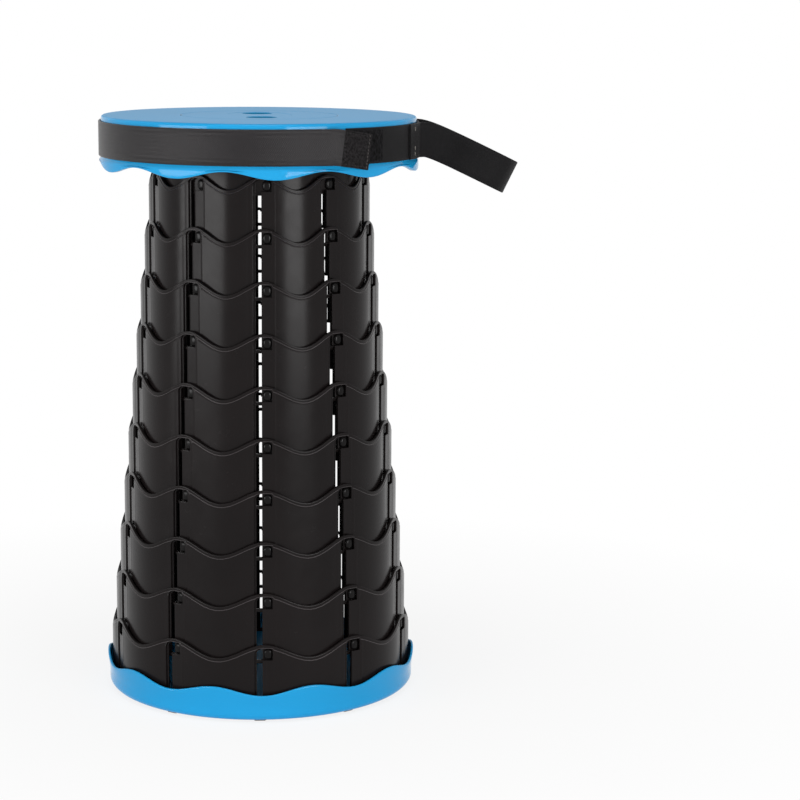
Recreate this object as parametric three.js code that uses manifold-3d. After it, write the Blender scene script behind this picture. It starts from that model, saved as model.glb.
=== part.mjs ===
// Telescopic stool: ten slotted rings that slide inside one another, between a round seat and a round base.
// Lengths are in millimetres and +Z is up. The origin is on the floor, on the stool's axis, and the front is -Y.
// Angles round the axis start at the front and grow towards +X.

import * as THREE from 'three';
import { mergeVertices } from 'three/addons/utils/BufferGeometryUtils.js';
import Module from 'manifold-3d';

const wasm = await Module();
wasm.setup();

// Rings
const ringCount = 10;
const panelCount = 10;
const outerRingRadius = 117.6;
const ringWall = 2.2;
const ringGap = 1.4;
const tierPitch = 38.7;
const waveDepth = 10.6;
const crestOffset = 3.4;
const channelDepth = 1.8;
const channelLeft = 7.5;
const channelRight = 12.2;
const petalShares = [0.22, 0.5, 0.78];

// Slots, notches and lugs
const slotWidth = 6;
const hoopHeight = 2.5;
const lugOffset = 6.6;
const lugWidth = 6;
const lugHeight = 8;
const lugFit = 0.3;
const lugBite = 0.9;
const hoopClearance = 0.9;
const notchHeadroom = 0.9;
const notchCorner = 3.6;
const notchRim = 0.55;

// Base tray
const padHeight = 1;
const trayFloorThickness = 4.3;
const trayRimGap = 0.6;
const trayWall = 1.8;
const trayFlare = 1.4;
const trayFlareFrom = 12;
const trayRimHeight = 21.9;
const trayWave = 6.2;
const trayTurn = THREE.MathUtils.degToRad(19);
const trayUnderRadius = 115.4;
const trayHeel = 5;
const trayBossRadius = 30;
const padWidth = 9;
const padLength = 7;
const padInset = 0.6;

// Seat
const hubStroke = 34.5;
const crestClearance = 0.3;
const seatPlate = 5.5;
const skirtGap = 1.2;
const seatWall = 2.2;
const seatFillet = 3.5;
const skirtDepth = 35;
const skirtWave = 5.9;
const skirtBandHeight = 7.6;
const skirtFlare = 1.6;
const skirtSlope = 1.5;
const lobeTurn = THREE.MathUtils.degToRad(6.2);
const roundColumns = 4;

// Centre cap and its finger holes
const capRadius = 60;
const capThickness = 3;
const capLedge = 6;
const capSeam = 0.3;
const fingerRadius = 11.7;
const fingerSpacing = 54.4;
const fingerTurn = THREE.MathUtils.degToRad(4);

// Webbing round the seat
const strapThickness = 1.6;
const strapWidth = 26.5;
const strapDrop = 3.9;
const layerGap = 0.3;
const hookThickness = 0.8;
const fleeceThickness = 0.6;
const fleeceInset = 1.5;

// Carry loop
const loopTurn = THREE.MathUtils.degToRad(93.5);
const loopReach = 70;
const loopSpread = 61;
const loopDroopShare = 0.5;
const loopEase = 10;
const loopTail = 9;
const overrun = 2;

// How far a scalloped edge lies from its crest, which is at the phase angle and at every panel from there
const scallop = (depth, angle, phase) => depth * (1 - Math.cos(panelCount * (angle - phase))) / 2;

const ringStep = ringWall + ringGap;
const panelTurn = 2 * Math.PI / panelCount;
const lugLift = hoopHeight + hoopClearance;
const notchFloor = tierPitch + lugLift - lugFit;
const notchTop = notchFloor + lugFit + lugHeight + notchHeadroom;
const notchRight = lugOffset + lugWidth / 2 + lugFit;
const trayFloor = padHeight + trayFloorThickness;
const trayInner = outerRingRadius + trayRimGap;
const seatInner = outerRingRadius + skirtGap;
const seatRadius = seatInner + seatWall;

// Ring 0 is the hub ring that the seat stands on, ring 1 is the topmost tier and the last ring stands in the tray.
const ringRadius = (ring) => outerRingRadius - (ringCount - ring) * ringStep;

// The wave falls fastest on ring 1, so the rings' height is what leaves the rim over that ring's notch corners.
const ringHeight = notchTop + notchRim + cornerFall(ringRadius(1) - channelDepth);
const ringBottom = (ring) => trayFloor + (ringCount - ring) * tierPitch;
const seatUnder = ringBottom(1) + ringHeight + crestClearance + hubStroke;
const seatTop = seatUnder + seatPlate;

const materials = {
  blue: [0x228bc8, 0.32],
  ring: [0x232325, 0.42],
  webbing: [0x37373a, 0.9],
  hook: [0x1c1c1e, 1],
  rubber: [0x161616, 0.85],
};

// How far the wave, straight between its crest and the channel's right edge, has fallen at the notch's far corner
function cornerFall(flat) {
  const fall = scallop(waveDepth, Math.atan2(channelRight, flat), Math.atan2(crestOffset, flat));
  return fall * (notchRight - crestOffset) / (channelRight - crestOffset);
}

// A closed solid with its shared points merged
function solid(geometry) {
  geometry.deleteAttribute('normal');
  geometry.deleteAttribute('uv');
  const merged = mergeVertices(geometry);
  const index = merged.getIndex().array;
  const corners = [];
  for (let i = 0; i < index.length; i += 3) {
    const [a, b, c] = index.slice(i, i + 3);
    if (a !== b && b !== c && c !== a) corners.push(a, b, c);
  }
  return new wasm.Manifold(new wasm.Mesh({
    numProp: 3,
    vertProperties: new Float32Array(merged.getAttribute('position').array),
    triVerts: new Uint32Array(corners),
  }));
}

function add(parent, name, body, look) {
  const { vertProperties, triVerts } = body.getMesh();
  const geometry = new THREE.BufferGeometry();
  geometry.setAttribute('position', new THREE.BufferAttribute(new Float32Array(vertProperties), 3));
  geometry.setIndex(new THREE.BufferAttribute(new Uint32Array(triVerts), 1));
  geometry.computeVertexNormals();
  const [color, roughness] = materials[look];
  const mesh = new THREE.Mesh(geometry, new THREE.MeshStandardMaterial({ color, roughness, metalness: 0 }));
  mesh.name = name;
  parent.add(mesh);
  return mesh;
}

// A section turned about the axis, whose columns of points then each move to their own place
function turned(section, columns, place) {
  const geometry = new THREE.LatheGeometry(section.map(({ x, y }) => new THREE.Vector2(x, y)), columns);
  const position = geometry.getAttribute('position');
  for (let i = 0; i < position.count; i += 1) {
    const column = Math.floor(i / section.length) % columns;
    const { angle, reach, height } = place(column, section[i % section.length]);
    position.setXYZ(i, reach * Math.sin(angle), -reach * Math.cos(angle), height);
  }
  return solid(geometry);
}

// An outline of offsets and heights, pushed outwards along the direction at one angle
function pushed(outline, from, to, angle, curveSegments = 2) {
  const geometry = new THREE.ExtrudeGeometry(outline, { depth: to - from, bevelEnabled: false, curveSegments });
  geometry.rotateX(Math.PI / 2);
  geometry.translate(0, -from, 0);
  geometry.rotateZ(angle);
  return solid(geometry);
}

// An outline in plan, raised to a height
function raised(outline, height, curveSegments = 8) {
  return new THREE.ExtrudeGeometry(outline, { depth: height, bevelEnabled: false, curveSegments });
}

// The places round one panel: a flat channel about the slot, then a petal that swells to the ring's radius
function panelPlan(radius) {
  const flat = radius - channelDepth;
  const spot = (offset, reach) => ({ angle: Math.atan2(offset, reach), reach: Math.hypot(offset, reach) });
  const channel = [-channelLeft, crestOffset, channelRight].map((offset) => ({
    outer: spot(offset, flat),
    inner: spot(offset, flat - ringWall),
  }));
  const [left, , right] = channel.map(({ outer }) => outer);
  const petal = petalShares.map((share) => {
    const angle = THREE.MathUtils.lerp(right.angle, panelTurn + left.angle, share);
    const edge = THREE.MathUtils.lerp(right.reach, left.reach, share);
    const reach = THREE.MathUtils.lerp(edge, radius, Math.sin(Math.PI * share));
    return { outer: { angle, reach }, inner: { angle, reach: reach - ringWall } };
  });
  return [...channel, ...petal];
}

const ringSection = [
  new THREE.Vector2(1, 0),
  new THREE.Vector2(1, 1),
  new THREE.Vector2(0, 1),
  new THREE.Vector2(0, 0),
  new THREE.Vector2(1, 0),
];

function ringBlank(radius, height, wave) {
  const plan = panelPlan(radius);
  const crest = plan[1].outer.angle;
  return turned(ringSection, panelCount * plan.length, (column, corner) => {
    const place = plan[column % plan.length];
    const { angle, reach } = corner.x ? place.outer : place.inner;
    return {
      angle: angle + Math.floor(column / plan.length) * panelTurn,
      reach,
      height: corner.y * (height - scallop(wave, place.outer.angle, crest)),
    };
  });
}

// The hooked slot: a long upright gap that turns to the right at its top, into the notch that holds a lug
function slotOutline() {
  const side = slotWidth / 2;
  const shape = new THREE.Shape();
  shape.moveTo(-side, hoopHeight);
  shape.lineTo(side, hoopHeight);
  shape.lineTo(side, notchFloor);
  shape.lineTo(notchRight, notchFloor);
  shape.lineTo(notchRight, notchTop);
  shape.lineTo(notchCorner - side, notchTop);
  shape.lineTo(-side, notchTop - notchCorner);
  shape.closePath();
  return shape;
}

// The relief behind the strip under the notch, where the lug passes down
function reliefOutline() {
  const shape = new THREE.Shape();
  shape.moveTo(0, hoopHeight);
  shape.lineTo(notchRight, hoopHeight);
  shape.lineTo(notchRight, notchTop - notchHeadroom);
  shape.lineTo(0, notchTop - notchHeadroom);
  shape.closePath();
  return shape;
}

function lugOutline() {
  const side = lugWidth / 2;
  const shape = new THREE.Shape();
  shape.moveTo(lugOffset - side, lugLift);
  shape.lineTo(lugOffset + side, lugLift);
  shape.lineTo(lugOffset + side, lugLift + lugHeight);
  shape.lineTo(lugOffset - side, lugLift + lugHeight);
  shape.closePath();
  return shape;
}

function ringBody(ring) {
  const radius = ringRadius(ring);
  const flat = radius - channelDepth;
  const inside = flat - ringWall;
  const isHub = ring === 0;
  const isLast = ring === ringCount;
  let body = ringBlank(radius, isHub ? seatUnder - ringBottom(ring) : ringHeight, isHub ? 0 : waveDepth);
  for (let panel = 0; panel < panelCount; panel += 1) {
    const angle = panel * panelTurn;
    if (!isHub) {
      body = body.subtract(pushed(slotOutline(), inside - overrun, flat + overrun, angle));
      body = body.subtract(pushed(reliefOutline(), inside - overrun, inside + lugBite + lugFit, angle));
    }
    if (!isLast) {
      body = body.add(pushed(lugOutline(), flat - ringWall / 2, flat + ringGap + lugBite, angle));
    }
  }
  return body;
}

const columnTurn = panelTurn / roundColumns;

function trayBody() {
  const outer = trayInner + trayWall;
  const rim = trayFloor + trayRimHeight;
  const section = [
    { x: 0, y: 0 },
    { x: trayBossRadius, y: 0 },
    { x: trayBossRadius + padHeight, y: padHeight },
    { x: trayUnderRadius, y: padHeight },
    { x: outer - trayHeel * (1 - Math.SQRT1_2), y: padHeight + trayHeel * (1 - Math.SQRT1_2) },
    { x: outer, y: padHeight + trayHeel },
    { x: outer, y: trayFlareFrom },
    { x: outer + trayFlare, y: rim, scalloped: true },
    { x: trayInner + trayFlare, y: rim, scalloped: true },
    { x: trayInner, y: trayFloor },
    { x: 0, y: trayFloor },
  ];
  return turned(section, panelCount * roundColumns, (column, corner) => {
    const angle = column * columnTurn + trayTurn;
    const drop = corner.scalloped ? scallop(trayWave, angle, trayTurn) : 0;
    return { angle, reach: corner.x, height: corner.y - drop };
  });
}

function padBody(angle) {
  const outline = new THREE.Shape();
  const outerEdge = trayUnderRadius - padInset;
  outline.moveTo(-padWidth / 2, -outerEdge);
  outline.lineTo(padWidth / 2, -outerEdge);
  outline.lineTo(padWidth / 2, padLength - outerEdge);
  outline.lineTo(-padWidth / 2, padLength - outerEdge);
  outline.closePath();
  const geometry = raised(outline, padHeight);
  geometry.rotateZ(angle);
  return solid(geometry);
}

function seatBody() {
  const bore = capRadius - capLedge;
  const flared = seatRadius + skirtFlare;
  const bottom = seatUnder - skirtDepth;
  const bandTop = bottom + skirtBandHeight;
  const fillet = (share) => {
    const turn = share * Math.PI / 2;
    return {
      x: seatRadius - seatFillet * (1 - Math.cos(turn)),
      y: seatTop - seatFillet * (1 - Math.sin(turn)),
    };
  };
  const section = [
    { x: flared, y: bottom, scalloped: true },
    { x: flared, y: bandTop },
    { x: seatRadius, y: bandTop + skirtSlope },
    fillet(0),
    fillet(1 / 3),
    fillet(2 / 3),
    fillet(1),
    { x: capRadius + capSeam, y: seatTop },
    { x: capRadius + capSeam, y: seatTop - capThickness },
    { x: bore, y: seatTop - capThickness },
    { x: bore, y: seatUnder },
    { x: seatInner, y: seatUnder },
    { x: seatInner, y: bottom, scalloped: true },
    { x: flared, y: bottom, scalloped: true },
  ];
  return turned(section, panelCount * roundColumns, (column, corner) => {
    const angle = column * columnTurn + lobeTurn;
    const lift = corner.scalloped ? scallop(skirtWave, angle, lobeTurn) : 0;
    return { angle, reach: corner.x, height: corner.y + lift };
  });
}

function capBody() {
  const outline = new THREE.Shape();
  outline.absarc(0, 0, capRadius, 0, 2 * Math.PI, false);
  for (const side of [-1, 1]) {
    const hole = new THREE.Path();
    const along = side * fingerSpacing / 2;
    const x = -along * Math.sin(fingerTurn);
    const y = along * Math.cos(fingerTurn);
    hole.absarc(x, y, fingerRadius, 0, 2 * Math.PI, true);
    outline.holes.push(hole);
  }
  const geometry = raised(outline, capThickness, 10);
  geometry.translate(0, 0, seatTop - capThickness);
  return solid(geometry);
}

// Angles of the seat's own facets between two angles, with both ends
function facetAngles(from, to) {
  const angles = [from];
  const first = Math.floor((from - lobeTurn) / columnTurn) + 1;
  for (let i = first; lobeTurn + i * columnTurn < to; i += 1) angles.push(lobeTurn + i * columnTurn);
  return [...angles, to];
}

// How far out a facet lies at an angle, when its corners are at the given radius
function facetReach(radius, angle) {
  const across = angle - lobeTurn - Math.floor((angle - lobeTurn) / columnTurn) * columnTurn;
  return radius * Math.cos(columnTurn / 2) / Math.cos(across - columnTurn / 2);
}

// A flat piece laid round the seat wall between two angles; climb says how far each angle stands off
function wrapped(radius, thickness, from, to, low, high, climb = () => 0) {
  const angles = facetAngles(from, to);
  const corner = (angle, out) => {
    const reach = facetReach(radius + climb(angle) + out, angle);
    return new THREE.Vector2(reach * Math.sin(angle), -reach * Math.cos(angle));
  };
  const points = [
    ...angles.map((angle) => corner(angle, thickness)),
    ...[...angles].reverse().map((angle) => corner(angle, 0)),
  ];
  const geometry = raised(new THREE.Shape(points), high - low);
  geometry.translate(0, 0, low);
  return solid(geometry);
}

const degrees = (value) => THREE.MathUtils.degToRad(value);
const strapTop = seatTop - strapDrop;
const strapBottom = strapTop - strapWidth;
const strapInner = seatRadius + layerGap;
const strapOuter = strapInner + strapThickness;
const hookInner = strapOuter + layerGap;
const fleeceInner = hookInner + hookThickness + layerGap;
const overlapInner = fleeceInner + fleeceThickness + layerGap;

// Where the webbing's ends lie: the short strap carries the loop, and the long one closes on it at both ends
const shortFrom = degrees(31.5);
const shortTo = degrees(155.5);
const longFrom = degrees(142.7);
const longTo = degrees(400.2);
const hookLength = degrees(14.4);
const rampLength = degrees(14.4);
const tuck = degrees(1.5);

// The long strap stands off where it passes over the short one, and comes down to the seat wall past its end
function longClimb(angle) {
  const high = overlapInner - strapInner;
  const rear = (shortTo + tuck + rampLength - angle) / rampLength;
  const front = (angle - (shortFrom + 2 * Math.PI - tuck - rampLength)) / rampLength;
  return high * THREE.MathUtils.clamp(Math.max(rear, front), 0, 1);
}

// The carry loop's route in plan: across the loop's direction, then out along it
const loopShares = [
  [-0.50, 0.045],
  [-0.375, 0.17],
  [-0.355, 0.32],
  [-0.42, 0.52],
  [-0.45, 0.72],
  [-0.39, 0.87],
  [-0.26, 0.96],
  [-0.07, 1.0],
  [0.08, 0.965],
  [0.20, 0.85],
  [0.235, 0.68],
  [0.205, 0.48],
  [0.155, 0.32],
  [0.175, 0.17],
  [0.30, 0.035],
];

function loopBody() {
  const root = strapOuter + layerGap + strapThickness / 2;
  const onStrap = (across) => new THREE.Vector2(-across, Math.sqrt(root * root - across * across));
  const first = loopShares[0][0] * loopSpread;
  const last = loopShares.at(-1)[0] * loopSpread;
  const route = [
    onStrap(first - loopTail),
    onStrap(first),
    ...loopShares.slice(1, -1).map(([across, out]) => new THREE.Vector2(-across * loopSpread, root + out * loopReach)),
    onStrap(last + loopTail / 3),
    onStrap(last + loopTail),
  ];
  const spots = new THREE.SplineCurve(route).getPoints(2 * route.length);
  for (const spot of spots) spot.clampLength(root, Infinity);
  const side = (i, out) => {
    const before = spots[Math.max(i - 1, 0)];
    const after = spots[Math.min(i + 1, spots.length - 1)];
    const along = after.clone().sub(before).normalize();
    return spots[i].clone().add(new THREE.Vector2(-along.y, along.x).multiplyScalar(out * strapThickness / 2));
  };
  const points = [
    ...spots.map((spot, i) => side(i, -1)),
    ...spots.map((spot, i) => side(i, 1)).reverse(),
  ];
  const geometry = raised(new THREE.Shape(points), strapWidth);
  const position = geometry.getAttribute('position');
  // The loop leaves the strap level and hangs down more and more, and the webbing leans to lie square to that slope
  for (let i = 0; i < position.count; i += 1) {
    const out = Math.max(position.getY(i) - root, 0);
    const eased = loopEase / (out + loopEase);
    const lean = Math.atan(loopDroopShare * (1 - eased * eased));
    const up = position.getZ(i) - strapWidth / 2;
    position.setY(i, position.getY(i) + up * Math.sin(lean));
    position.setZ(i, strapBottom + strapWidth / 2 + up * Math.cos(lean) - loopDroopShare * out * (1 - eased));
  }
  geometry.rotateZ(loopTurn - Math.PI);
  return solid(geometry);
}

const stool = new THREE.Group();

const base = new THREE.Group();
stool.add(base);
add(base, 'base_tray', trayBody(), 'blue');
for (let pad = 0; pad < panelCount; pad += 1) {
  add(base, `foot_pad_${String(pad + 1).padStart(2, '0')}`, padBody(pad * panelTurn), 'rubber');
}

for (let ring = ringCount; ring > 0; ring -= 1) {
  const mesh = add(stool, `tier_ring_${String(ring).padStart(2, '0')}`, ringBody(ring), 'ring');
  mesh.position.z = ringBottom(ring);
}

const seat = new THREE.Group();
stool.add(seat);
add(seat, 'hub_ring', ringBody(0), 'ring').position.z = ringBottom(0);
add(seat, 'seat_shell', seatBody(), 'blue');
add(seat, 'centre_cap', capBody(), 'blue');
add(seat, 'loop_strap', wrapped(strapInner, strapThickness, shortFrom, shortTo, strapBottom, strapTop), 'webbing');
add(seat, 'seat_strap', wrapped(strapInner, strapThickness, longFrom, longTo, strapBottom, strapTop, longClimb), 'webbing');
add(seat, 'carry_loop', loopBody(), 'webbing');

const patches = [
  ['front', shortFrom + tuck, shortFrom + tuck + hookLength, shortFrom + tuck, longTo - 2 * Math.PI - tuck / 2],
  ['rear', shortTo - tuck - hookLength, shortTo - tuck, longFrom + tuck / 2, shortTo - tuck],
];
for (const [end, hookFrom, hookTo, fleeceFrom, fleeceTo] of patches) {
  const low = strapBottom + fleeceInset;
  const high = strapTop - fleeceInset;
  add(seat, `${end}_hook_patch`, wrapped(hookInner, hookThickness, hookFrom, hookTo, low, high), 'hook');
  add(seat, `${end}_fleece_patch`, wrapped(fleeceInner, fleeceThickness, fleeceFrom, fleeceTo, low, high), 'hook');
}

export default stool;
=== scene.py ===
import math
import bmesh
import bpy
import numpy as np
from mathutils import Matrix, Vector


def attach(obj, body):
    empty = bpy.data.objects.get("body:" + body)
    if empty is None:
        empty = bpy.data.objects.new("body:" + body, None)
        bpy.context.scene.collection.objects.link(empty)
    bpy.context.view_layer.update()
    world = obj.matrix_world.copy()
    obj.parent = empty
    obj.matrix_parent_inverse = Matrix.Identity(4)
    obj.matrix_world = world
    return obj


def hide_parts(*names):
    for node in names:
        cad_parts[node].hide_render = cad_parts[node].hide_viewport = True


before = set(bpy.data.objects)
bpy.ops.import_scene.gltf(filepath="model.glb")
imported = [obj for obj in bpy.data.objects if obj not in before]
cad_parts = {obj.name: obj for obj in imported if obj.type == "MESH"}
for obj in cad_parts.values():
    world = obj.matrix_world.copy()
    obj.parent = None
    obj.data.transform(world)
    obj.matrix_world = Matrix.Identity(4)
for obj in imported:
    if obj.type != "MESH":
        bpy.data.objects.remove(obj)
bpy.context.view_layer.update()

# Sizes in millimetres, as on the solids. Angles start at the front, -Y, and grow towards +X.
MM = 0.001
RINGS = 10                      # slotted rings, numbered from the top; ring 0 is the hub ring
PANELS = 10
TURN = 2 * math.pi / PANELS
OUTER_RING = 117.6              # radius of the lowest ring
STEP = 3.6                      # each ring is this much smaller in radius than the one below it
PITCH = 38.7                    # and stands this much higher
RING_HEIGHT = 53.5
WALL = 2.2
TRAY_FLOOR = 5.3
SEAT_UNDER = 441.9
SEAT_TOP = 447.4
AROUND = 240                    # columns of the seat and the tray


def radius_of(ring):
    return OUTER_RING - (RINGS - ring) * STEP


def bottom_of(ring):
    return TRAY_FLOOR + (RINGS - ring) * PITCH


def scallop(depth, angle, phase):
    """A wave round the axis, one for each panel: 0 at the phase, depth half a panel further."""
    return depth * (1 - math.cos(PANELS * (angle - phase))) / 2


def polar(angle, reach, z):
    return (reach * math.sin(angle), -reach * math.cos(angle), z)


def srgb(r, g, b):
    def lin(c):
        c /= 255
        return c / 12.92 if c <= 0.04045 else ((c + 0.055) / 1.055) ** 2.4
    return (lin(r), lin(g), lin(b), 1)


# ---------------------------------------------------------------- materials
class Nodes:
    """A few lines of shader graph, written as calls."""

    def __init__(self, name):
        self.mat = bpy.data.materials.new(name)
        self.mat.use_nodes = True
        self.tree = self.mat.node_tree
        self.bsdf = self.tree.nodes["Principled BSDF"]

    def add(self, kind, **inputs):
        node = self.tree.nodes.new(kind)
        for key, value in inputs.items():
            self.put(node, key.replace("_", " "), value)
        return node

    def put(self, node, key, value):
        """Links a socket, named or numbered as in #0, to an output, or sets its value."""
        socket = node.inputs[int(key[1:])] if key[0] == "#" else node.inputs[key]
        if hasattr(value, "is_output"):
            self.tree.links.new(value, socket)
        else:
            socket.default_value = value

    def ramp(self, fac, stops):
        node = self.add("ShaderNodeValToRGB", Fac=fac)
        points = node.color_ramp.elements
        while len(points) < len(stops):
            points.new(0.5)
        for point, (at, colour) in zip(points, stops):
            point.position = at
            point.color = colour
        return node.outputs["Color"]

    def span(self, value, old, new):
        """Maps the range old to the range new, and holds it at the ends."""
        return self.add("ShaderNodeMapRange", Value=value, From_Min=old[0], From_Max=old[1],
                        To_Min=new[0], To_Max=new[1]).outputs["Result"]

    def math(self, operation, a, b=0.0):
        node = self.tree.nodes.new("ShaderNodeMath")
        node.operation = operation
        self.put(node, "#0", a)
        self.put(node, "#1", b)
        return node.outputs["Value"]

    def bump(self, height, strength, distance):
        return self.add("ShaderNodeBump", Height=height, Strength=strength, Distance=distance).outputs["Normal"]


def moulded(name, colour, dark, roughness, grain, specular=0.5, skin=0.18, flat=None):
    """Moulded plastic: slight mottling, faint scuffs in its gloss and a fine skin. flat is its roughness where it
    faces up, on the textured top."""
    n = Nodes(name)
    where = n.add("ShaderNodeTexCoord").outputs["Object"]
    broad = n.add("ShaderNodeTexNoise", Vector=where, Scale=9.0, Detail=3.0)
    fine = n.add("ShaderNodeTexNoise", Vector=where, Scale=grain, Detail=2.0)
    scuff = n.add("ShaderNodeTexNoise", Vector=where, Scale=55.0, Detail=6.0, Roughness=0.7)
    n.put(n.bsdf, "Base Color", n.ramp(broad.outputs["Fac"], [(0.3, dark), (0.7, colour)]))
    gloss = n.span(scuff.outputs["Fac"], (0.35, 0.7), roughness)
    if flat:
        facing = n.add("ShaderNodeSeparateXYZ", Vector=n.add("ShaderNodeTexCoord").outputs["Normal"])
        gloss = n.math("MAXIMUM", gloss, n.span(facing.outputs["Z"], (0.3, 0.85), (0.0, flat)))
    n.put(n.bsdf, "Roughness", gloss)
    n.put(n.bsdf, "Normal", n.bump(fine.outputs["Fac"], skin, 0.0002))
    n.put(n.bsdf, "Specular IOR Level", specular)
    return n.mat


def woven(name, colour, dark, mottled=0.25, gloss=0.38, specular=0.25):
    """Webbing: fine ribs across, a zigzag of threads along, a soft sheen, a little fuzz and broader mottling. u and v
    are in millimetres, along and across the webbing."""
    n = Nodes(name)
    uv = n.add("ShaderNodeTexCoord").outputs["UV"]
    place = n.add("ShaderNodeSeparateXYZ", Vector=uv)
    along, across = place.outputs["X"], place.outputs["Y"]
    warp_pitch, weft_pitch, zigzag = 1.3, 1.5, 1.5
    zig = n.math("PINGPONG", across, zigzag)
    warp = n.math("SINE", n.math("MULTIPLY", n.math("ADD", along, zig), 2 * math.pi / warp_pitch))
    weft = n.math("SINE", n.math("MULTIPLY", across, 2 * math.pi / weft_pitch))
    weave = n.math("MULTIPLY", n.math("ADD", warp, 1.0), n.math("ADD", n.math("ABSOLUTE", weft), 0.35))
    fuzz = n.add("ShaderNodeTexNoise", Vector=uv, Scale=2.2, Detail=4.0)
    broad = n.add("ShaderNodeTexNoise", Vector=uv, Scale=0.45, Detail=4.0, Roughness=0.7)
    height = n.math("ADD", n.math("MULTIPLY", weave, 0.5), n.math("MULTIPLY", fuzz.outputs["Fac"], 0.5))
    tone = n.math("ADD", n.math("MULTIPLY", weave, 0.22), n.math("MULTIPLY", fuzz.outputs["Fac"], 0.6))
    patch = n.math("MULTIPLY", n.math("SUBTRACT", broad.outputs["Fac"], 0.5), 4 * mottled)
    n.put(n.bsdf, "Base Color", n.ramp(n.math("ADD", tone, patch), [(0.15, dark), (0.75, colour)]))
    n.put(n.bsdf, "Normal", n.bump(height, 0.35, 0.0003))
    n.put(n.bsdf, "Roughness", gloss)
    n.put(n.bsdf, "Specular IOR Level", specular)
    n.put(n.bsdf, "Sheen Weight", 0.02)
    n.put(n.bsdf, "Sheen Roughness", 0.6)
    return n.mat


def fuzzy(name, colour, dark, scale):
    """Hook or fleece tape: matt, with a coarse nap."""
    n = Nodes(name)
    where = n.add("ShaderNodeTexCoord").outputs["Object"]
    cells = n.add("ShaderNodeTexVoronoi", Vector=where, Scale=scale)
    noise = n.add("ShaderNodeTexNoise", Vector=where, Scale=scale * 0.6, Detail=5.0)
    nap = n.math("ADD", cells.outputs["Distance"], noise.outputs["Fac"])
    n.put(n.bsdf, "Base Color", n.ramp(noise.outputs["Fac"], [(0.35, dark), (0.65, colour)]))
    n.put(n.bsdf, "Normal", n.bump(nap, 0.9, 0.0006))
    n.put(n.bsdf, "Roughness", 1.0)
    n.put(n.bsdf, "Specular IOR Level", 0.1)
    n.put(n.bsdf, "Sheen Weight", 0.05)
    return n.mat


BLUE = moulded("blue_plastic", srgb(28, 148, 203), srgb(26, 143, 197), (0.05, 0.09), 900.0, 0.145, 0.02, 0.4)
BLACK = moulded("ring_plastic", srgb(23, 19, 19), srgb(18, 15, 15), (0.2, 0.29), 1500.0, 0.105, 0.05)
# A lighter plastic for the small step under each ring's rim: a painted highlight, not a colour of the plastic.
PAINTED_HIGHLIGHT = moulded("painted_highlight_plastic", srgb(62, 57, 58), srgb(50, 46, 47), (0.3, 0.42), 1500.0, 0.22, 0.05)
KNOB = moulded("lug_plastic", srgb(17, 15, 15), srgb(13, 12, 12), (0.16, 0.24), 1500.0, 0.11, 0.04)
WEBBING = woven("webbing", srgb(30, 27, 29), srgb(16, 14, 15), 0.25, 0.36, 0.21)
TAB_WEBBING = woven("tab_webbing", srgb(36, 34, 35), srgb(5, 5, 5), 0.7, 0.8, 0.06)
DARK_WEBBING = woven("dark_webbing", srgb(25, 24, 25), srgb(12, 12, 13), 0.25, 0.6, 0.065)
HOOKS = fuzzy("hook_tape", srgb(19, 18, 20), srgb(2, 2, 2), 420.0)
RUBBER = moulded("foot_rubber", srgb(24, 24, 25), srgb(18, 18, 18), (0.7, 0.9), 1200.0, 0.3)
MID_THREAD = moulded("mid_thread", srgb(88, 84, 82), srgb(60, 58, 57), (0.8, 0.95), 2000.0, 0.1)
THREAD = moulded("thread", srgb(136, 132, 126), srgb(104, 100, 96), (0.8, 0.95), 2000.0, 0.2)
DARK_THREAD = moulded("dark_thread", srgb(52, 50, 51), srgb(34, 33, 34), (0.8, 0.95), 2000.0, 0.1)


# ---------------------------------------------------------------- meshes
def piece(name, verts, faces, material, body, nodes=(), uvs=None, bevel=0.0, angle=35.0, smooth=50.0,
          more=()):
    """Makes a mesh from millimetres and gives it its material, body and finish. Edges sharper than angle are rounded
    by bevel, or without a bevel those sharper than smooth stay sharp. more holds further materials, each with the
    face from which it starts."""
    mesh = bpy.data.meshes.new(name)
    mesh.from_pydata([(x * MM, y * MM, z * MM) for x, y, z in verts], [], faces)
    mesh.materials.append(material)
    for m, (other, first) in enumerate(more, 1):
        mesh.materials.append(other)
        for polygon in mesh.polygons[first:]:
            polygon.material_index = m
    mesh.validate()
    if uvs is not None:
        layer = mesh.uv_layers.new(name="UVMap")
        for loop in mesh.loops:
            layer.data[loop.index].uv = uvs[loop.vertex_index]
    obj = bpy.data.objects.new(name, mesh)
    bpy.context.scene.collection.objects.link(obj)
    mesh.polygons.foreach_set("use_smooth", [True] * len(mesh.polygons))
    if bevel:
        mod = obj.modifiers.new("edges", "BEVEL")
        mod.width = bevel * MM
        mod.segments = 2
        mod.limit_method = "ANGLE"
        mod.angle_limit = math.radians(angle)
        mod.use_clamp_overlap = True
        mod.harden_normals = False
    else:
        mesh.set_sharp_from_angle(angle=math.radians(smooth))
    if nodes:
        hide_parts(*nodes)
    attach(obj, body)
    return obj


def sleeve(around, steps, closed=False):
    """Quads between neighbouring loops of points. There are steps loops of around points each, and closed joins the
    last loop to the first."""
    faces = []
    for c in range(steps if closed else steps - 1):
        d = (c + 1) % steps
        for r in range(around):
            s = (r + 1) % around
            faces.append((c * around + r, c * around + s, d * around + s, d * around + r))
    return faces


def turned(section, phase, height):
    """A closed section turned about the axis. Its points are (radius, z, share), and height gives the z of a point
    at an angle."""
    verts = []
    for c in range(AROUND):
        angle = phase + 2 * math.pi * c / AROUND
        verts += [polar(angle, radius, height(z, share, angle)) for radius, z, share in section]
    return verts, [(a, d, c, b) for a, b, c, d in sleeve(len(section), AROUND, closed=True)]


def arc(cx, cz, r, start, end, steps, share=0):
    """Points of an arc in a section, from one angle to another in degrees."""
    angles = [math.radians(start + (end - start) * i / steps) for i in range(steps + 1)]
    return [(cx + r * math.cos(a), cz + r * math.sin(a), share) for a in angles]


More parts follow.
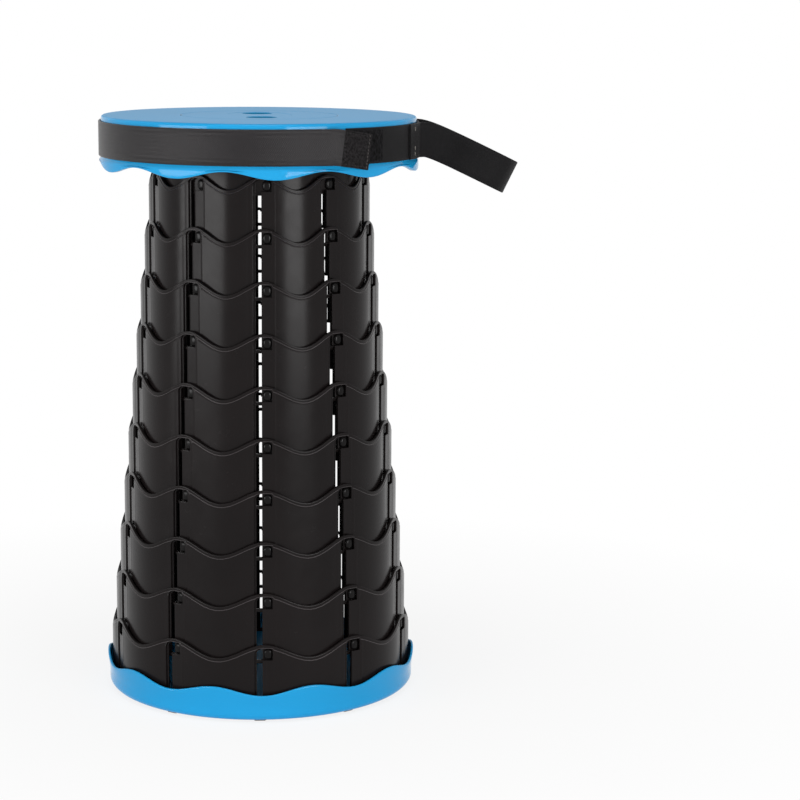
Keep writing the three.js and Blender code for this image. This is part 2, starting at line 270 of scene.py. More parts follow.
# ---------------------------------------------------------------- rings
# A panel's x runs to the right across its flat channel, from the point straight out from the axis at the panel's
# angle. Heights start at the ring's bottom.
CHANNEL = (-7.5, 12.2)
CHANNEL_DEPTH = 1.8
CREST = 3.4                     # x of the top edge's highest point
WAVE = 10.6                     # the top edge's fall from there
WAVE_FROM = 30                  # height from which a panel's rows follow the top edge
SLOT = (-2.4, 1.95)
GROOVE = (-4.2, 1.6)            # left edge and depth of the groove beside the slot
RIB_DEPTH = 0.9
HOOP = 2.5                      # height of the closed hoop at the bottom
BEAD = 0.45                     # how far the hoop's bead stands out, and its heights
BEAD_ROWS = (0.7, 1.8)
NOTCH_RIGHT = 9.6
NOTCH_FLOOR = 41.8
NOTCH_TOP = 51.0
LEFT_CORNER = (0.4, 46.4, 4.6)  # x, height and radius of the notch's rounded upper corners
RIGHT_CORNER = (7.4, 48.8, 2.2)
CORNER_MARGIN = 0.3             # of plastic between the left corner and the rows that bend over it
CORNER_STEPS = 6
CORNER_LINES = (0.1, 0.25)      # over the corner, how far in the first set-back column runs, and each next one
LUG = (6.2, 6.6, 3.4, 8.0)      # x, width, height of its lower edge, and its own height
LUG_ROOT = 1.0                  # how deep it stands in the wall, and how far it stands out
LUG_REACH = 2.4
LUG_RELIEF = 1.2                # depth of the relief inside the wall, down which the smaller ring's lug passes
PETAL_POWER = 0.85              # below 1, so that a petal has full shoulders

CHANNEL_COLUMNS = [CHANNEL[0], -6.9, -5.6, GROOVE[0], -4.1, -3.4, -3.3, SLOT[0], LEFT_CORNER[0], SLOT[1],
                   3.0, 4.6, 6.6, RIGHT_CORNER[0], NOTCH_RIGHT, 10.5, 11.2, 11.8, CHANNEL[1]]
SUNK = {-4.1: GROOVE[1], -3.4: GROOVE[1], -3.3: RIB_DEPTH, SLOT[0]: RIB_DEPTH}      # columns that are set back
CREASE = {-6.9: 0.06, 11.2: 0.07, 11.8: 0.1}    # columns that stand out a little beside the petals
PETAL_SHARES = [0.025, 0.07, 0.13, 0.21, 0.31, 0.41, 0.5, 0.59, 0.69, 0.79, 0.87, 0.93, 0.975]
ROWS = [0, *BEAD_ROWS, HOOP, 2.6, 8, 14, 20, 26, WAVE_FROM, 34, 38, 41.0, NOTCH_FLOOR, 44.5,
        LEFT_CORNER[1], RIGHT_CORNER[1], NOTCH_TOP]
# The rim: the rows' distances below the top edge, and [(distance, how far the wall stands out there)].
RIM_HEIGHT = 3.0
RIM_ROWS = [2.85, 2.65, 2.4, 1.9, 1.4, 0.8, 0.35, 0.0]
RIM = [(0.0, -0.5), (0.35, -0.3), (0.8, -0.3), (1.4, -0.32), (1.9, -0.34), (2.4, -0.36), (2.65, -0.15),
       (2.85, 0.03), (RIM_HEIGHT, 0.0)]
STEP_ROWS = range(len(ROWS), len(ROWS) + 2)     # faces of the small step under the rim, which get a lighter colour: a painted highlight for the light the step would catch


def rim_step(distance):
    """How far the wall stands out at a distance below the top edge. The rim is thinner, so there it is below 0."""
    return float(np.interp(distance, [d for d, _ in RIM], [out for _, out in RIM]))


def panel_columns(radius):
    """[(x or None, angle, reach outside, angle inside, reach inside)] round one panel and the petal after it."""
    flat = radius - CHANNEL_DEPTH
    out = []
    for x in CHANNEL_COLUMNS:
        outside = math.atan2(x, flat), math.hypot(x, flat)
        inside = math.atan2(x, flat - WALL), math.hypot(x, flat - WALL)
        out.append((x, *outside, *inside))
    left, right = out[0], out[-1]
    for share in PETAL_SHARES:
        a = right[1] + (TURN + left[1] - right[1]) * share
        edge = right[2] + (left[2] - right[2]) * share
        reach = edge + (radius - edge) * math.sin(math.pi * share) ** PETAL_POWER
        out.append((None, a, reach, a, reach - WALL))
    return out


def row_heights(x, angle, crest):
    """Heights of a slotted ring's rows in one column: level below, and above after the top edge or the notch."""
    top = RING_HEIGHT - scallop(WAVE, angle, crest)
    if x is not None and GROOVE[0] <= x <= NOTCH_RIGHT:
        corner, low, r = LEFT_CORNER
        high = NOTCH_TOP
        if x < corner:
            arch = low + math.sqrt(max(r * r - (x - corner) ** 2, 0.0))
            high = max(top - RIM_HEIGHT, arch + CORNER_MARGIN)
        wall = [z if z <= low else low + (z - low) * (high - low) / (NOTCH_TOP - low) for z in ROWS]
        return wall + [high + (top - high) * (1 - d / RIM_HEIGHT) for d in RIM_ROWS]
    scale = (top - RIM_HEIGHT - WAVE_FROM) / (NOTCH_TOP - WAVE_FROM)
    wall = [z if z <= WAVE_FROM else WAVE_FROM + (z - WAVE_FROM) * scale for z in ROWS]
    return wall + [top - d for d in RIM_ROWS]


def cut_out(x0, x1, z0, z1):
    """Whether the face between two columns and two rows lies in the slot, the notch or its left corner."""
    if x0 is None or x1 is None or z1 > NOTCH_TOP:
        return False
    in_slot = SLOT[0] <= x0 and x1 <= SLOT[1] and HOOP <= z0
    in_notch = SLOT[0] <= x0 and x1 <= NOTCH_RIGHT and NOTCH_FLOOR <= z0
    in_corner = GROOVE[0] <= x0 and x1 <= LEFT_CORNER[0] and LEFT_CORNER[1] <= z0
    return in_slot or in_notch or in_corner


def lug(x, z, y, angle):
    """A rounded lug on the wall at y, with its middle at x and z: a cushion-cornered outline with a domed face."""
    steps, cushion = 24, 0.8
    _, width, _, height = LUG
    outline = []
    for i in range(steps):
        a = 2 * math.pi * i / steps
        c, s = math.cos(a), math.sin(a)
        outline.append((math.copysign(abs(c) ** cushion, c), math.copysign(abs(s) ** cushion, s)))
    front = y + LUG_REACH
    dome = [(y - LUG_ROOT, 0.0), (front - 1.5, 0.0), (front - 0.95, 0.14), (front - 0.5, 0.5), (front - 0.2, 1.0),
            (front, 1.8)]
    turn_x, turn_y = math.cos(angle), math.sin(angle)
    verts = []
    for out, shrink in dome:
        for across, up in outline:
            side = x + across * (width / 2 - shrink)
            verts.append((side * turn_x + out * turn_y, side * turn_y - out * turn_x,
                          z + up * (height / 2 - shrink)))
    faces = sleeve(steps, len(dome))
    faces.append(tuple(range((len(dome) - 1) * steps, len(dome) * steps)))
    faces.append(tuple(reversed(range(steps))))
    return verts, faces


def ring_piece(ring):
    """One ring's moulding. Its points run up column after column round the ring, first outside and then inside."""
    hub = ring == 0
    radius, base = radius_of(ring), bottom_of(ring)
    flat = radius - CHANNEL_DEPTH
    crest = math.atan2(CREST, flat)
    columns = panel_columns(radius)
    count, rows = len(columns), len(ROWS) + len(RIM_ROWS)
    total = PANELS * count
    outer, inner = [], []

    for p in range(PANELS):
        for x, a, reach, a_in, reach_in in columns:
            if hub:
                heights = [(SEAT_UNDER - base) * i / (rows - 1) for i in range(rows)]
            else:
                heights = row_heights(x, a, crest)
            for z in heights:
                lip = relief = 0.0
                if not hub:
                    lip = BEAD if z in BEAD_ROWS else rim_step(heights[-1] - z) or CREASE.get(x, 0.0)
                    if x in SUNK and HOOP < z <= LEFT_CORNER[1]:
                        lip = -SUNK[x]
                    if x is not None and SLOT[1] < x <= NOTCH_RIGHT and HOOP <= z <= NOTCH_FLOOR:
                        relief = LUG_RELIEF
                outer.append(polar(a + p * TURN, reach + lip, base + z))
                inner.append(polar(a_in + p * TURN, reach_in + relief, base + z))

    levels = ROWS + [math.inf] * len(RIM_ROWS)
    # the second list holds the faces of the step under the rim, which get the painted highlight colour
    skin, painted_highlight_faces = [], []
    for k in range(total):
        x0, x1 = columns[k % count][0], columns[(k + 1) % count][0]
        n = (k + 1) % total
        for r in range(rows - 1):
            if not hub and cut_out(x0, x1, levels[r], levels[r + 1]):
                continue
            face = [k * rows + r, n * rows + r, n * rows + r + 1, k * rows + r + 1]
            (painted_highlight_faces if not hub and r in STEP_ROWS else skin).append(face)

    def arc_points(p, corner_x, corner_z, turns, sunk=0.0):
        """Indices of new points round a corner of panel p. turns is [(degrees, radius)]."""
        made = []
        for degrees, r in turns:
            x = corner_x + r * math.cos(math.radians(degrees))
            z = corner_z + r * math.sin(math.radians(degrees))
            made.append(len(outer))
            outer.append(polar(math.atan2(x, flat - sunk) + p * TURN, math.hypot(x, flat - sunk), base + z))
            inner.append(polar(math.atan2(x, flat - WALL) + p * TURN, math.hypot(x, flat - WALL), base + z))
        return made

    def round_corners(p):
        """The notch's rounded upper corners: fans between the grid's own points, and on the left the groove and the
        rib beside the slot, which narrow as they turn over the corner."""
        low, middle, high = (ROWS.index(z) for z in (LEFT_CORNER[1], RIGHT_CORNER[1], NOTCH_TOP))
        start, end, right = (CHANNEL_COLUMNS.index(x) for x in (GROOVE[0], LEFT_CORNER[0], NOTCH_RIGHT))
        k, last = (p * count + start) * rows, (p * count + end) * rows + high
        x, z, r = LEFT_CORNER
        degrees = [180 - 90 * i / CORNER_STEPS for i in range(CORNER_STEPS + 1)]
        lines = [[k + low] + arc_points(p, x, z, [(t, r) for t in degrees[1:-1]]) + [last]]
        for j, column in enumerate(SUNK):
            beside, above = r + GROOVE[0] - column, r - CORNER_LINES[0] - CORNER_LINES[1] * j
            turns = [(t, above + (beside - above) * (t - 90) / 90) for t in degrees[1:]]
            lines.append([k + (j + 1) * rows + low] + arc_points(p, x, z, turns, SUNK[column]))
        skin.append([k + high, k + middle] + lines[0] + list(range(last - rows, k + high, -rows)))
        for left, inward in zip(lines, lines[1:]):
            skin.extend([left[i], inward[i], inward[i + 1], left[i + 1]] for i in range(CORNER_STEPS))
        k = (p * count + right) * rows
        x, z, r = RIGHT_CORNER
        fan = arc_points(p, x, z, [(90 - 18 * i, r) for i in range(1, 5)])
        skin.append([k + high, k - rows + high] + fan + [k + middle])

    if not hub:
        for p in range(PANELS):
            round_corners(p)

    # The wall: skin outside, the same faces turned round inside, and quads along every open edge.
    edges = dict.fromkeys((a, face[(i + 1) % len(face)]) for face in skin + painted_highlight_faces for i, a in enumerate(face))
    n = len(outer)
    faces = [tuple(face) for face in skin] + [tuple(v + n for v in reversed(face)) for face in skin + painted_highlight_faces]
    faces += [(b, a, a + n, b + n) for a, b in edges if (b, a) not in edges]
    # The step's faces take the lighter plastic, a painted highlight, and come after all the others.
    more = [] if hub else [(PAINTED_HIGHLIGHT, len(faces))]
    faces += [tuple(face) for face in painted_highlight_faces]
    verts = outer + inner
    if ring < RINGS:
        more.append((KNOB, len(faces)))
        x, _, lift, height = LUG
        for p in range(PANELS):
            lug_verts, lug_faces = lug(x, base + lift + height / 2, flat, p * TURN)
            faces += [tuple(i + len(verts) for i in face) for face in lug_faces]
            verts += lug_verts
    node = "hub_ring" if hub else f"tier_ring_{ring:02d}"
    body = "seat" if hub else ("base" if ring == RINGS else f"ring_{ring:02d}")
    return piece(f"ring_{ring:02d}_moulding", verts, faces, BLACK, body, [node], bevel=0.35,
                 more=more)


for ring in range(RINGS + 1):
    ring_piece(ring)


# ---------------------------------------------------------------- seat, cap and base
def seat_shell():
    """The seat. The skirt's lower edge is scalloped, and the shares say how far a point follows that edge."""
    inner, wall, skirt = 118.8, 121.0, 122.6
    wave, phase = 5.9, math.radians(6.2)
    low = SEAT_UNDER - 35           # the skirt's lowest points
    band = low + 8.4                # where the skirt's shoulder meets the wall behind the strap
    brow, edge, brim = 0.9, 2.2, 0.8        # radii of the skirt's edge, the seat's edge and the edge round the cap
    well, sunk = 54, SEAT_TOP - 3   # the cap's seating: radius of its hole and its height

    section = arc(skirt - brow, low + brow, brow, -90, 0, 4, share=1)
    section += [(skirt, low + 4.5, 0.5), (skirt, band - 2.2, 0), (skirt - 0.2, band - 1.2, 0)]
    section += [(skirt - 0.7, band - 0.2, 0), (wall + 0.35, band + 0.7, 0), (wall + 0.05, band + 1.6, 0)]
    section += [(wall, band + 2.6, 0), (wall, band + 6, 0), (wall, SEAT_TOP - edge, 0)]
    section += arc(wall - edge, SEAT_TOP - edge, edge, 9, 90, 9)
    section += [(x, SEAT_TOP, 0) for x in (108, 96, 84, 70, 62.0)]
    section += arc(61.1, SEAT_TOP - brim, brim, 90, 180, 3)
    section += [(60.3, sunk, 0), (well, sunk, 0), (well, SEAT_UNDER, 0), (116, SEAT_UNDER, 0)]
    section += arc(inner - 3, SEAT_UNDER - 3, 3, 80, 0, 4)
    section += [(inner, low + 9, 0.1), (inner, low + 0.7, 1), (inner + 0.6, low, 1)]

    verts, faces = turned(section, phase, lambda z, share, angle: z + share * scallop(wave, angle, phase))
    return piece("seat_moulding", verts, faces, BLUE, "seat", ["seat_shell"], smooth=40)


def base_tray():
    """The base. Its rim is scalloped, and the shares say how far a point follows the rim."""
    inner, outer, rim, flare = 118.2, 120.0, 27.2, 1.4
    wave, phase = 6.2, math.radians(19)
    brow, lip = 0.9, 0.6            # radii of the rim's outer and inner edge
    foot = inner - 0.4              # radius of the hollow at the tray's floor

    section = [(0.01, 0, 0), (15, 0, 0), (29.4, 0, 0), (30.2, 0.3, 0), (31, 1, 0), (70, 1, 0), (112, 1, 0)]
    section += [(115.1, 1, 0)] + arc(outer - 5, 6, 5, -86, 0, 9)
    section += [(outer, 9, 0), (outer, 12, 0), (outer + 0.5, 17, 0.33), (outer + 1.2, rim - 3.2, 0.8)]
    section += [(outer + flare, rim - 1.2, 0.95)]
    section += arc(outer + flare - brow, rim - brow, brow, 20, 90, 4, share=1)
    section += arc(inner + flare + lip, rim - lip, lip, 90, 170, 3, share=1)
    section += [(inner + 1.2, rim - 4, 0.8), (inner + 0.5, 13, 0.2), (inner, 6.5, 0), (foot, 5.6, 0)]
    section += [(x, TRAY_FLOOR, 0) for x in (foot, 112, 80, 40, 0.01)]

    verts, faces = turned(section, phase, lambda z, share, angle: z - share * scallop(wave, angle, phase))
    return piece("base_moulding", verts, faces, BLUE, "base", ["base_tray"], smooth=40)


def cap():
    """The round cap: two finger holes with rounded mouths, in a faint oval dish."""
    radius, thick, hole, apart, turn = 60.0, 3.0, 11.7, 54.4, math.radians(4)
    oval, brim, dish = (43.0, 25.5), 1.0, 0.25
    bm = bmesh.new()

    def loop(at, along, across, steps, z):
        """A closed loop of edges. along is its reach on the line of the two holes, across at right angles to it."""
        ring = []
        for i in range(steps):
            a = 2 * math.pi * i / steps
            u, v = at + along * math.cos(a), across * math.sin(a)
            x, y = v * math.cos(turn) - u * math.sin(turn), v * math.sin(turn) + u * math.cos(turn)
            ring.append(bm.verts.new((x, y, z)))
        return [bm.edges.new((ring[i], ring[(i + 1) % steps])) for i in range(steps)]

    rim = loop(0, radius, radius, 96, 0)
    brink = loop(0, *oval, 72, 0)
    bottom = loop(0, oval[0] - brim, oval[1] - brim, 72, -dish)
    mouths = loop(-apart / 2, hole, hole, 48, -dish) + loop(apart / 2, hole, hole, 48, -dish)
    for edges in (rim + brink, brink + bottom, bottom + mouths):
        bmesh.ops.triangle_fill(bm, edges=edges, use_beauty=True, normal=(0, 0, 1))
    under = bm.verts[:]
    out = bmesh.ops.extrude_face_region(bm, geom=bm.faces[:])
    for v in out["geom"]:
        if isinstance(v, bmesh.types.BMVert):
            v.co.z += thick
    for v in under:
        v.co.z = 0
    bmesh.ops.recalc_face_normals(bm, faces=bm.faces)
    bm.verts.index_update()
    verts = [(v.co.x, v.co.y, v.co.z + SEAT_TOP - thick) for v in bm.verts]
    faces = [tuple(v.index for v in f.verts) for f in bm.faces]
    bm.free()
    obj = piece("cap_moulding", verts, faces, BLUE, "seat", ["centre_cap"], bevel=0.7, angle=60)
    # the bevel's normals keep the flat top flat, up to the sharp edges of the dish
    obj.data.set_sharp_from_angle(angle=math.radians(10))
    obj.modifiers["edges"].harden_normals = True
    return obj


def foot_pad(number):
    """One of the ten pads under the base's edge, with small cut corners."""
    half, depth, reach, cut = 4.5, 7.0, 114.8, 1
    near, far = -reach + depth, -reach
    outline = [(-half + cut, far), (half - cut, far), (half, far + cut), (half, near - cut), (half - cut, near),
               (-half + cut, near), (-half, near - cut), (-half, far + cut)]
    angle = (number - 1) * TURN
    c, s = math.cos(angle), math.sin(angle)
    verts = [(x * c - y * s, x * s + y * c, z) for z in (0.02, 1.0) for x, y in outline]
    sides = len(outline)
    faces = [tuple(reversed(range(sides))), tuple(range(sides, 2 * sides))]
    for i in range(sides):
        j = (i + 1) % sides
        faces.append((i, j, sides + j, sides + i))
    return piece(f"pad_{number:02d}", verts, faces, RUBBER, "base", [f"foot_pad_{number:02d}"],
                 bevel=0.2)


seat_shell()
base_tray()
cap()
for number in range(1, PANELS + 1):
    foot_pad(number)


# ---------------------------------------------------------------- webbing
WEB_WIDTH = 26.5
TAPE_WIDTH = 23.5
STRAP_THICK = 1.6
HOOK_THICK = 0.8
FLEECE_THICK = 0.6
GAP = 0.3                       # between two layers of webbing and tape
STRAP_TOP = SEAT_TOP - 3.9
STRAP_MID = STRAP_TOP - WEB_WIDTH / 2
# inner radii of the layers round the seat, and of the long strap's ends over them
STRAP_IN = 121.3
HOOK_IN = STRAP_IN + STRAP_THICK + GAP
FLEECE_IN = HOOK_IN + HOOK_THICK + GAP
OVER_IN = FLEECE_IN + FLEECE_THICK + GAP
# from where to where the straps run, in degrees
SHORT = (31.5, 155.5)
LONG = (142.7, 400.2)
TAB_FROM = 389.4                # where the long strap's sewn end starts, in degrees
CLIMB = 14.4                    # degrees in which the long strap climbs to lie over the short one's ends
CLIMB_CLEAR = 1.5               # and how many degrees before them it is up
SAG_FROM = 386.5                # where the long strap's free end starts to sag, in degrees
SAG = 0.36                      # by how much for each degree, reached over about SAG_EASE degrees
SAG_EASE = 1.6


def ribbon(points, ups, width, thickness):
    """A flat band with rounded edges along points, with ups as the directions across it."""
    half, t, edge = width / 2, thickness / 2, 0.45
    back_offset = 40                # sets the texture of the back off from the front's
    section = [(-half + edge, -t), (-half, -t + edge * 0.8), (-half, t - edge * 0.8), (-half + edge, t)]
    section += [(-half * 0.5, t), (0, t), (half * 0.5, t)]
    section += [(half - edge, t), (half, t - edge * 0.8), (half, -t + edge * 0.8), (half - edge, -t)]
    section += [(half * 0.5, -t), (0, -t), (-half * 0.5, -t)]
    points = [Vector(p) for p in points]
    verts, uvs, run = [], [], 0.0
    for i, (p, up) in enumerate(zip(points, ups)):
        before, after = points[max(i - 1, 0)], points[min(i + 1, len(points) - 1)]
        if i:
            run += (p - before).length
        along = (after - before).normalized()
        out = along.cross(Vector(up).normalized()).normalized()
        up = out.cross(along).normalized()
        for v, h in section:
            verts.append(tuple(p + up * v + out * h))
            uvs.append((run, v + (back_offset if h < 0 else 0)))
    n = len(section)
    faces = sleeve(n, len(points))
    faces.append(tuple(range(n)))
    faces.append(tuple(reversed(range((len(points) - 1) * n, len(points) * n))))
    return verts, faces, uvs


def smoothstep(t):
    t = min(max(t, 0.0), 1.0)
    return t * t * (3 - 2 * t)


def long_reach(angle):
    """Radius of the long strap's middle line at an angle in degrees."""
    rear = smoothstep((SHORT[1] + CLIMB_CLEAR + CLIMB - angle) / CLIMB)
    front = smoothstep((angle - (SHORT[0] + 360 - CLIMB_CLEAR - CLIMB)) / CLIMB)
    return STRAP_IN + STRAP_THICK / 2 + (OVER_IN - STRAP_IN) * max(rear, front)


def long_sag(angle):
    """How much lower the long strap hangs at an angle in degrees."""
    run = max(angle - SAG_FROM, 0.0)
    return SAG * run * run / (run + SAG_EASE)


def band(name, node, reach, span, width, thickness, material, slot, sag=lambda angle: 0.0, tab=None):
    """A band laid round the seat between two angles in degrees, with a point for each degree. tab is a second
    webbing and the angle from which it starts."""
    first, last = span
    count = int(last - first)
    points = []
    for i in range(count + 1):
        a = math.radians(first + (last - first) * i / count)
        points.append(polar(a, reach(math.degrees(a)), STRAP_MID - sag(math.degrees(a))))
    verts, faces, uvs = ribbon(points, [(0, 0, 1)] * len(points), width, thickness)
    more = []
    if tab:
        webbing, start = tab
        around = len(verts) // len(points)
        more = [(webbing, round((start - first) / (last - first) * count) * around)]
    return piece(name, verts, faces, material, "seat", [node], uvs=uvs, smooth=60, more=more)


band("long_webbing", "seat_strap", long_reach, LONG, WEB_WIDTH, STRAP_THICK, WEBBING, "webbing", long_sag,
     tab=(TAB_WEBBING, TAB_FROM))
band("short_webbing", "loop_strap", lambda a: STRAP_IN + STRAP_THICK / 2, SHORT, WEB_WIDTH, STRAP_THICK,
     DARK_WEBBING, "webbing")
for end, hook, fleece in (("front", (33, 47.4), (33, 39.4)), ("rear", (139.6, 154), (143.5, 154))):
    band(f"{end}_hooks", f"{end}_hook_patch", lambda a: HOOK_IN + HOOK_THICK / 2, hook, TAPE_WIDTH, HOOK_THICK,
         HOOKS, "touch_tape")
    band(f"{end}_fleece", f"{end}_fleece_patch", lambda a: FLEECE_IN + FLEECE_THICK / 2, fleece, TAPE_WIDTH,
         FLEECE_THICK, HOOKS, "touch_tape")

# The loop's middle line seen from above, as shares of its spread along the strap and of its reach beyond it.
LOOP_SHARES = [(-0.50, 0.045), (-0.375, 0.17), (-0.355, 0.32), (-0.42, 0.52), (-0.45, 0.72), (-0.39, 0.87),
               (-0.26, 0.96), (-0.07, 1.0), (0.08, 0.965), (0.20, 0.85), (0.235, 0.68), (0.205, 0.48),
               (0.155, 0.32), (0.175, 0.17), (0.30, 0.035)]


def catmull(points, per):
    """A smooth line through points of a plan, with as many samples in each stretch as per says."""
    def blend(a, b, c, d, t):
        return 0.5 * (2 * b + (c - a) * t + (2 * a - 5 * b + 4 * c - d) * t * t + (3 * b - a - 3 * c + d) * t ** 3)
    out = []
    for i in range(len(points) - 1):
        near = points[max(i - 1, 0)], points[i], points[i + 1], points[min(i + 2, len(points) - 1)]
        for k in range(per):
            out.append(tuple(blend(*along, k / per) for along in zip(*near)))
    return out + [points[-1]]


def carry_loop():
    """The loop, sewn to the short strap. Beyond the strap it droops, and leans the more the further out it is."""
    root = STRAP_IN + STRAP_THICK * 1.5 + GAP
    spread, reach, droop, ease, turn = 61.0, 70.0, 0.5, 10.0, math.radians(93.5)

    def on_strap(across):
        return (across, math.sqrt(root * root - across * across))
    first, last = LOOP_SHARES[0][0] * spread, LOOP_SHARES[-1][0] * spread
    plan = [on_strap(first - d) for d in (27, 22, 17, 12, 8, 4, 0)]
    plan += [(across * spread, root + out * reach) for across, out in LOOP_SHARES[1:-1]]
    plan += [on_strap(last + d) for d in (3, 6, 9)]
    points, ups = [], []
    for across, out in catmull(plan, 6):
        r = math.hypot(across, out)
        if r < root:
            across, out = across * root / r, out * root / r
        beyond = max(out - root, 0.0)
        eased = ease / (beyond + ease)
        lean = math.atan(droop * (1 - eased * eased))
        x, y = out * math.sin(turn) + across * math.cos(turn), -out * math.cos(turn) + across * math.sin(turn)
        points.append((x, y, STRAP_MID - droop * beyond * (1 - eased)))
        ups.append((math.sin(turn) * math.sin(lean), -math.cos(turn) * math.sin(lean), math.cos(lean)))
    verts, faces, uvs = ribbon(points, ups, WEB_WIDTH, STRAP_THICK)
    return piece("loop_webbing", verts, faces, DARK_WEBBING, "seat", ["carry_loop"], uvs=uvs, smooth=60)


carry_loop()


def stitches(name, places, material, length=1.7, radius=0.27):
    """Small arched threads. places are (middle, along, out), and each thread's ends dip into the webbing."""
    steps, sides, arch, dip = 4, 6, 0.3, 0.12
    verts, faces = [], []
    for middle, along, out in places:
        middle, along, out = Vector(middle), Vector(along).normalized(), Vector(out).normalized()
        side = along.cross(out)
        start = len(verts)
        for i in range(steps + 1):
            t = i / steps
            centre = middle + along * (t - 0.5) * length + out * (arch * math.sin(math.pi * t) - dip)
            for k in range(sides):
                a = 2 * math.pi * k / sides
                verts.append(tuple(centre + (side * math.cos(a) + out * math.sin(a)) * radius))
        thread = sleeve(sides, steps + 1)
        thread += [tuple(reversed(range(sides))), tuple(range(steps * sides, (steps + 1) * sides))]
        faces += [tuple(start + v for v in face) for face in thread]
    return piece(name, verts, faces, material, "seat", smooth=80)


def upright_row(angle, reach, mid, first, last, pitch, slope=0.0):
    """Places of stitches that run up a strap at one angle, in degrees, from first to last above its middle."""
    out = []
    for i in range(int((last - first) / pitch) + 1):
        up = first + pitch * i
        a = math.radians(angle + slope * up)
        out.append((polar(a, reach, mid + up), (0, 0, 1), (math.sin(a), -math.cos(a), 0)))
    return out


def level_row(up, first, last, pitch):
    """Places of stitches that run along the long strap near its free end, up above its middle."""
    def on_strap(angle):
        reach, z = long_reach(angle) + STRAP_THICK / 2, STRAP_MID - long_sag(angle) + up
        return Vector(polar(math.radians(angle), reach, z))
    out = []
    angle = first
    while angle <= last:
        a = math.radians(angle)
        here = on_strap(angle)
        out.append((here, on_strap(angle + 0.5) - here, (math.sin(a), -math.cos(a), 0)))
        angle += pitch
    return out


def tab_row(angle, pitch, slope=0.0):
    """Places of stitches across the long strap's free end."""
    reach, mid = long_reach(angle) + STRAP_THICK / 2, STRAP_MID - long_sag(angle)
    return upright_row(angle, reach, mid, -11.2, 11.3, pitch, slope)


LOOP_FACE = STRAP_IN + 2 * STRAP_THICK + GAP
LOOP_SEAM = 70.4                # the two seams that hold the loop's front end, in degrees
BACK_SEAM = 74.6

stitches("tab_stitch_start", tab_row(389.7, 2.6), DARK_THREAD)
stitches("tab_stitch_end", tab_row(399.2, 2.5, 0.07), MID_THREAD)
sides = level_row(11.4, 390.6, 399.0, 1.15) + level_row(-11.4, 390.2, 398.2, 1.15)
stitches("tab_stitch_sides", sides, DARK_THREAD)
light = [upright_row(LOOP_SEAM, LOOP_FACE, STRAP_MID, up, up, 1.0)[0] for up in (-9.2, -5.1, 9.4)]
stitches("loop_stitch_front", light, THREAD, length=3.0, radius=0.36)
dark = upright_row(LOOP_SEAM, LOOP_FACE, STRAP_MID, -1.3, 7.0, 3.6)
dark += upright_row(BACK_SEAM, LOOP_FACE, STRAP_MID, -11.0, 11.2, 2.9)
stitches("loop_stitch_front_back", dark, DARK_THREAD, length=2.4)


# ---------------------------------------------------------------- stage, light and camera, in metres
def seen_directly(tree):
    """1 for what the camera sees itself, in a gloss or through something, and 0 for the light that bounces."""
    rays = tree.nodes.new("ShaderNodeLightPath")
    total = rays.outputs["Is Camera Ray"]
    for name in ("Is Glossy Ray", "Is Transmission Ray"):
        step = tree.nodes.new("ShaderNodeMath")
        step.operation = "MAXIMUM"
        tree.links.new(total, step.inputs[0])
        tree.links.new(rays.outputs[name], step.inputs[1])
        total = step.outputs[0]
    return total


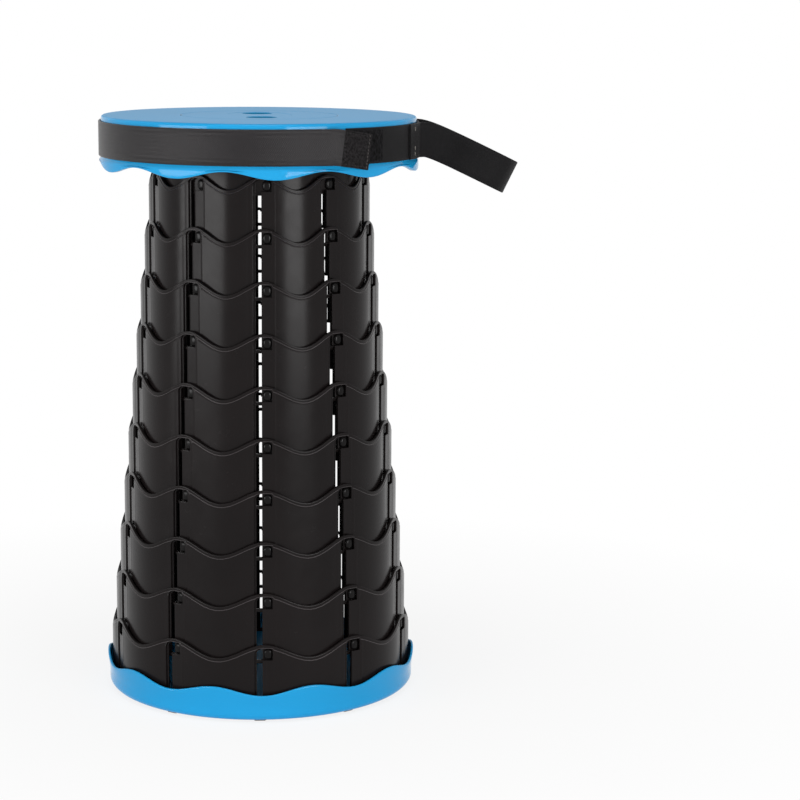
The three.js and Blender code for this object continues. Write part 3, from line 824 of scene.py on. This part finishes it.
def white_floor():
    """The photo's white ground. It takes light as grey card does, and looks white, with a little of the card's shade
    near the stool."""
    n = Nodes("floor")
    n.put(n.bsdf, "Base Color", (0.85, 0.85, 0.85, 1))
    n.put(n.bsdf, "Roughness", 0.9)
    n.put(n.bsdf, "Specular IOR Level", 0.0)
    white = n.add("ShaderNodeEmission", Color=(1, 1, 1, 1), Strength=1.0)
    distance = n.tree.nodes.new("ShaderNodeVectorMath")
    distance.operation = "LENGTH"
    n.put(distance, "#0", n.add("ShaderNodeTexCoord").outputs["Object"])
    share = n.span(distance.outputs["Value"], (0.13, 0.6), (0.84, 1.0))
    mix = n.tree.nodes.new("ShaderNodeMixShader")
    n.put(mix, "#0", n.math("MULTIPLY", seen_directly(n.tree), share))
    n.put(mix, "#1", n.bsdf.outputs[0])
    n.put(mix, "#2", white.outputs[0])
    n.put(n.tree.nodes["Material Output"], "Surface", mix.outputs[0])
    half, z = 6, -0.0005
    mesh = bpy.data.meshes.new("floor")
    mesh.from_pydata([(-half, -half, z), (half, -half, z), (half, half, z), (-half, half, z)], [], [(0, 1, 2, 3)])
    mesh.materials.append(n.mat)
    floor = bpy.data.objects.new("floor", mesh)
    bpy.context.scene.collection.objects.link(floor)


def studio_world():
    """White all round for the eye, and dimmer for the light that it sheds."""
    world = bpy.data.worlds.new("studio")
    bpy.context.scene.world = world
    world.use_nodes = True
    tree = world.node_tree
    back = tree.nodes["Background"]
    glow = tree.nodes.new("ShaderNodeMapRange")
    tree.links.new(seen_directly(tree), glow.inputs["Value"])
    glow.inputs["To Min"].default_value = 0.32
    glow.inputs["To Max"].default_value = 1.0
    tree.links.new(glow.outputs["Result"], back.inputs["Strength"])
    back.inputs["Color"].default_value = (1, 1, 1, 1)


def lamp(name, at, size, energy):
    """A softbox that faces the upper part of the stool."""
    data = bpy.data.lights.new(name, "AREA")
    data.shape = "RECTANGLE"
    data.size, data.size_y = size
    data.energy = energy
    obj = bpy.data.objects.new(name, data)
    obj.location = at
    obj.rotation_euler = (Vector((0, 0, 0.3)) - Vector(at)).to_track_quat("-Z", "Y").to_euler()
    bpy.context.scene.collection.objects.link(obj)


def photo_camera():
    """The camera that was fitted to the photo."""
    sensor, picture_px, focal_px = 36.0, 800, 2336.1
    yaw, down, roll = math.radians(2.968), math.radians(10.086), math.radians(0.4)
    data = bpy.data.cameras.new("camera")
    data.sensor_width = sensor
    data.lens = sensor * focal_px / picture_px
    data.clip_end = 50
    cam = bpy.data.objects.new("camera", data)
    cam.location = (0.016, -1.8078, 0.5467)
    look = Vector((math.sin(yaw) * math.cos(down), math.cos(yaw) * math.cos(down), -math.sin(down)))
    cam.rotation_euler = (look.to_track_quat("-Z", "Y").to_matrix() @ Matrix.Rotation(roll, 3, "Z")).to_euler()
    bpy.context.scene.collection.objects.link(cam)
    bpy.context.scene.camera = cam


white_floor()
studio_world()
lamp("left", (-1.465, -1.045, 0.34), (1.2, 0.6), 19)
lamp("right", (0.99, -1.5, 0.34), (0.93, 0.6), 18)
lamp("top", (0.0, -0.6, 2.1), (0.9, 0.9), 13)
photo_camera()
bpy.context.scene.view_settings.view_transform = "Standard"
